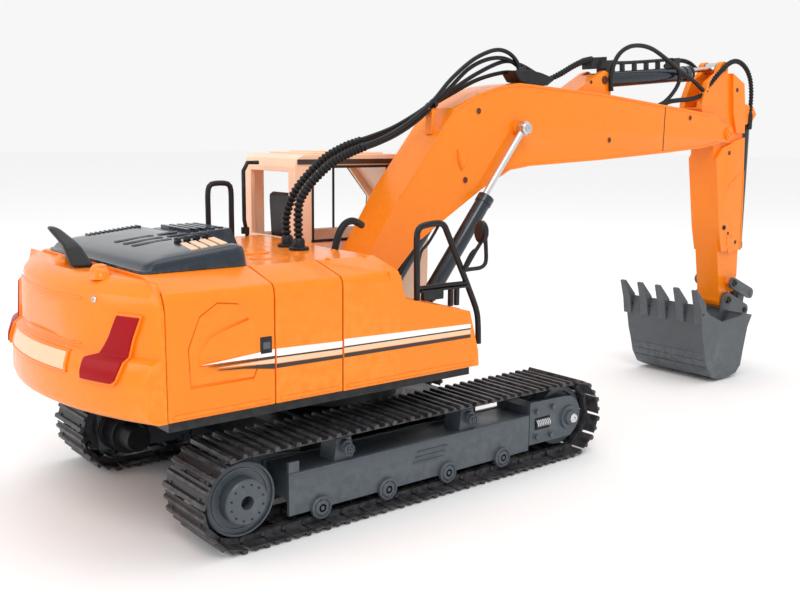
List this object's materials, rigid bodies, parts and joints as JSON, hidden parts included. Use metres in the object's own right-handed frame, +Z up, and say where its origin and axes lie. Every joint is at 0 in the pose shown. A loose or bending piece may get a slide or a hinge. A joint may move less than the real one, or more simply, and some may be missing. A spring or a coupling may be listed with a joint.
{
  "type": "tracked excavator model",
  "caption": "Tracked excavator model with a swinging upper body, cab, engine hood and counterweight, and a boom, arm and bucket moved by cylinders.",
  "frame": {"origin": "on the ground, at the middle of the overall length and width", "axes": "+X forward towards the bucket, +Y to the left, the cab's side, +Z up"},
  "size_m": [0.603, 0.1848, 0.2524],
  "materials": {
    "orange": "gloss orange paint or moulding",
    "pale": "pale peach cab moulding",
    "slate_blue": "gloss dark slate",
    "slate_grey": "satin slate grey",
    "track": "matt near-black",
    "steel": "bright rods and gears",
    "cylinder": "dark blue-black cylinder tubes",
    "bucket_grey": "satin dark grey",
    "black": "satin black",
    "red": "dark red lamp lens"
  },
  "bodies": {
    "undercarriage": {"centre_frame": "slate_grey", "slew_gear": "steel", "track_frame_right": "slate_grey", "track_frame_left": "slate_grey", "track_belt_right": "track", "track_belt_left": "track", "idler_fork_right": "slate_grey", "idler_fork_left": "slate_grey", "travel_motor_right": "black", "travel_motor_left": "black"},
    "upper": {"turntable_frame": "black", "counterweight": "orange", "right_rear_cover": "orange", "right_mid_cover": "orange", "right_front_cover": "orange", "left_cover": "orange", "engine_hood": "slate_blue", "side_hood": "slate_blue", "cab_shell": "pale", "cab_seat": "black", "exhaust_fin": "black", "tail_lamp_right": "red", "tail_lamp_left": "red", "rear_handrail": "black", "cab_side_rail": "black", "front_handrail": "black", "side_mirror": "black", "swing_motor": "black", "battery_pack": "slate_blue", "control_board": "slate_blue"},
    "boom_body": {"boom": "orange"},
    "arm_body": {"arm": "orange", "bucket_cylinder_barrel": "cylinder"},
    "bucket_body": {"bucket": "bucket_grey"},
    "rocker_body": {"rocker_link": "bucket_grey"},
    "link_body": {"bucket_link": "bucket_grey"},
    "bucket_rod_body": {"bucket_cylinder_rod": "steel"},
    "arm_barrel_body": {"arm_cylinder_barrel": "cylinder"},
    "arm_rod_body": {"arm_cylinder_rod": "steel"},
    "swing_pinion_body": {"swing_pinion": "steel"},
    "boom_barrel_right_body": {"boom_cylinder_barrel_right": "cylinder"},
    "boom_rod_right_body": {"boom_cylinder_rod_right": "steel"},
    "boom_barrel_left_body": {"boom_cylinder_barrel_left": "cylinder"},
    "boom_rod_left_body": {"boom_cylinder_rod_left": "steel"},
    "sprocket_right_body": {"sprocket_right": "slate_grey"},
    "idler_right_body": {"idler_right": "slate_grey"},
    "roller_right_1_body": {"roller_right_1": "slate_grey"},
    "roller_right_2_body": {"roller_right_2": "slate_grey"},
    "roller_right_3_body": {"roller_right_3": "slate_grey"},
    "roller_right_4_body": {"roller_right_4": "slate_grey"},
    "sprocket_left_body": {"sprocket_left": "slate_grey"},
    "idler_left_body": {"idler_left": "slate_grey"},
    "roller_left_1_body": {"roller_left_1": "slate_grey"},
    "roller_left_2_body": {"roller_left_2": "slate_grey"},
    "roller_left_3_body": {"roller_left_3": "slate_grey"},
    "roller_left_4_body": {"roller_left_4": "slate_grey"}
  },
  "joints": [
    {"name": "swing", "type": "hinge", "parent": "undercarriage", "child": "upper", "pos_m": [-0.12346, 0, 0.06], "axis": [0, 0, 1], "continuous": true},
    {"name": "swing_pinion_turn", "type": "hinge", "parent": "upper", "child": "swing_pinion_body", "pos_m": [-0.15271, -0.02125, 0.055], "axis": [0, 0, 1], "continuous": true},
    {"name": "boom_pivot", "type": "hinge", "parent": "upper", "child": "boom_body", "pos_m": [-0.11146, 0, 0.1], "axis": [0, -1, 0], "range_deg": [-20, 25]},
    {"name": "arm_pivot", "type": "hinge", "parent": "boom_body", "child": "arm_body", "pos_m": [0.25294, 0, 0.1957], "axis": [0, 1, 0], "range_deg": [-22, 30]},
    {"name": "bucket_pivot", "type": "hinge", "parent": "arm_body", "child": "bucket_body", "pos_m": [0.26754, 0, 0.059], "axis": [0, 1, 0], "range_deg": [-60, 12]},
    {"name": "rocker_pivot", "type": "hinge", "parent": "arm_body", "child": "rocker_body", "pos_m": [0.27004, 0, 0.0735], "axis": [0, 1, 0], "range_deg": [-61, 13]},
    {"name": "bucket_link_pivot", "type": "hinge", "parent": "rocker_body", "child": "link_body", "pos_m": [0.29604, 0, 0.0625], "axis": [0, 1, 0], "range_deg": [-13, 61]},
    {"name": "bucket_rod_pivot", "type": "hinge", "parent": "rocker_body", "child": "bucket_rod_body", "pos_m": [0.29604, 0, 0.0625], "axis": [0, 1, 0], "range_deg": [-13, 61]},
    {"name": "boom_barrel_right_pivot", "type": "hinge", "parent": "upper", "child": "boom_barrel_right_body", "pos_m": [-0.07346, -0.0196, 0.086], "axis": [0, -1, 0], "range_deg": [-22, 27.5]},
    {"name": "boom_rod_right_pivot", "type": "hinge", "parent": "boom_body", "child": "boom_rod_right_body", "pos_m": [0.01254, -0.0196, 0.1975], "axis": [0, -1, 0], "range_deg": [-2, 2.5]},
    {"name": "boom_barrel_left_pivot", "type": "hinge", "parent": "upper", "child": "boom_barrel_left_body", "pos_m": [-0.07346, 0.0196, 0.086], "axis": [0, -1, 0], "range_deg": [-22, 27.5]},
    {"name": "boom_rod_left_pivot", "type": "hinge", "parent": "boom_body", "child": "boom_rod_left_body", "pos_m": [0.01254, 0.0196, 0.1975], "axis": [0, -1, 0], "range_deg": [-2, 2.5]},
    {"name": "arm_barrel_pivot", "type": "hinge", "parent": "boom_body", "child": "arm_barrel_body", "pos_m": [0.10294, 0, 0.232], "axis": [0, 1, 0], "range_deg": [-1, 1]},
    {"name": "arm_rod_pivot", "type": "hinge", "parent": "arm_body", "child": "arm_rod_body", "pos_m": [0.24754, 0, 0.247], "axis": [0, 1, 0], "range_deg": [-30.5, 22.5]},
    {"name": "sprocket_right_turn", "type": "hinge", "parent": "undercarriage", "child": "sprocket_right_body", "pos_m": [-0.23546, -0.072, 0.0242], "axis": [0, 1, 0], "continuous": true},
    {"name": "idler_right_turn", "type": "hinge", "parent": "undercarriage", "child": "idler_right_body", "pos_m": [-0.01146, -0.072, 0.0242], "axis": [0, 1, 0], "continuous": true},
    {"name": "roller_right_1_turn", "type": "hinge", "parent": "undercarriage", "child": "roller_right_1_body", "pos_m": [-0.19146, -0.072, 0.01], "axis": [0, 1, 0], "continuous": true},
    {"name": "roller_right_2_turn", "type": "hinge", "parent": "undercarriage", "child": "roller_right_2_body", "pos_m": [-0.14966, -0.072, 0.01], "axis": [0, 1, 0], "continuous": true},
    {"name": "roller_right_3_turn", "type": "hinge", "parent": "undercarriage", "child": "roller_right_3_body", "pos_m": [-0.10786, -0.072, 0.01], "axis": [0, 1, 0], "continuous": true},
    {"name": "roller_right_4_turn", "type": "hinge", "parent": "undercarriage", "child": "roller_right_4_body", "pos_m": [-0.06606, -0.072, 0.01], "axis": [0, 1, 0], "continuous": true},
    {"name": "sprocket_left_turn", "type": "hinge", "parent": "undercarriage", "child": "sprocket_left_body", "pos_m": [-0.23546, 0.072, 0.0242], "axis": [0, 1, 0], "continuous": true},
    {"name": "idler_left_turn", "type": "hinge", "parent": "undercarriage", "child": "idler_left_body", "pos_m": [-0.01146, 0.072, 0.0242], "axis": [0, 1, 0], "continuous": true},
    {"name": "roller_left_1_turn", "type": "hinge", "parent": "undercarriage", "child": "roller_left_1_body", "pos_m": [-0.19146, 0.072, 0.01], "axis": [0, 1, 0], "continuous": true},
    {"name": "roller_left_2_turn", "type": "hinge", "parent": "undercarriage", "child": "roller_left_2_body", "pos_m": [-0.14966, 0.072, 0.01], "axis": [0, 1, 0], "continuous": true},
    {"name": "roller_left_3_turn", "type": "hinge", "parent": "undercarriage", "child": "roller_left_3_body", "pos_m": [-0.10786, 0.072, 0.01], "axis": [0, 1, 0], "continuous": true},
    {"name": "roller_left_4_turn", "type": "hinge", "parent": "undercarriage", "child": "roller_left_4_body", "pos_m": [-0.06606, 0.072, 0.01], "axis": [0, 1, 0], "continuous": true}
  ],
  "couplings": [
    {"joint": "swing_pinion_turn", "follows": "swing", "ratio": 5},
    {"joint": "rocker_pivot", "follows": "bucket_pivot", "ratio": 1},
    {"joint": "bucket_link_pivot", "follows": "bucket_pivot", "ratio": -1},
    {"joint": "bucket_rod_pivot", "follows": "bucket_pivot", "ratio": -1},
    {"joint": "boom_barrel_right_pivot", "follows": "boom_pivot", "ratio": 1.074},
    {"joint": "boom_rod_right_pivot", "follows": "boom_pivot", "ratio": 0.074},
    {"joint": "boom_barrel_left_pivot", "follows": "boom_pivot", "ratio": 1.074},
    {"joint": "boom_rod_left_pivot", "follows": "boom_pivot", "ratio": 0.074},
    {"joint": "arm_barrel_pivot", "follows": "arm_pivot", "ratio": 0.018},
    {"joint": "arm_rod_pivot", "follows": "arm_pivot", "ratio": -0.982},
    {"joint": "idler_right_turn", "follows": "sprocket_right_turn", "ratio": 1},
    {"joint": "roller_right_1_turn", "follows": "sprocket_right_turn", "ratio": 4.3571},
    {"joint": "roller_right_2_turn", "follows": "sprocket_right_turn", "ratio": 4.3571},
    {"joint": "roller_right_3_turn", "follows": "sprocket_right_turn", "ratio": 4.3571},
    {"joint": "roller_right_4_turn", "follows": "sprocket_right_turn", "ratio": 4.3571},
    {"joint": "idler_left_turn", "follows": "sprocket_left_turn", "ratio": 1},
    {"joint": "roller_left_1_turn", "follows": "sprocket_left_turn", "ratio": 4.3571},
    {"joint": "roller_left_2_turn", "follows": "sprocket_left_turn", "ratio": 4.3571},
    {"joint": "roller_left_3_turn", "follows": "sprocket_left_turn", "ratio": 4.3571},
    {"joint": "roller_left_4_turn", "follows": "sprocket_left_turn", "ratio": 4.3571}
  ]
}
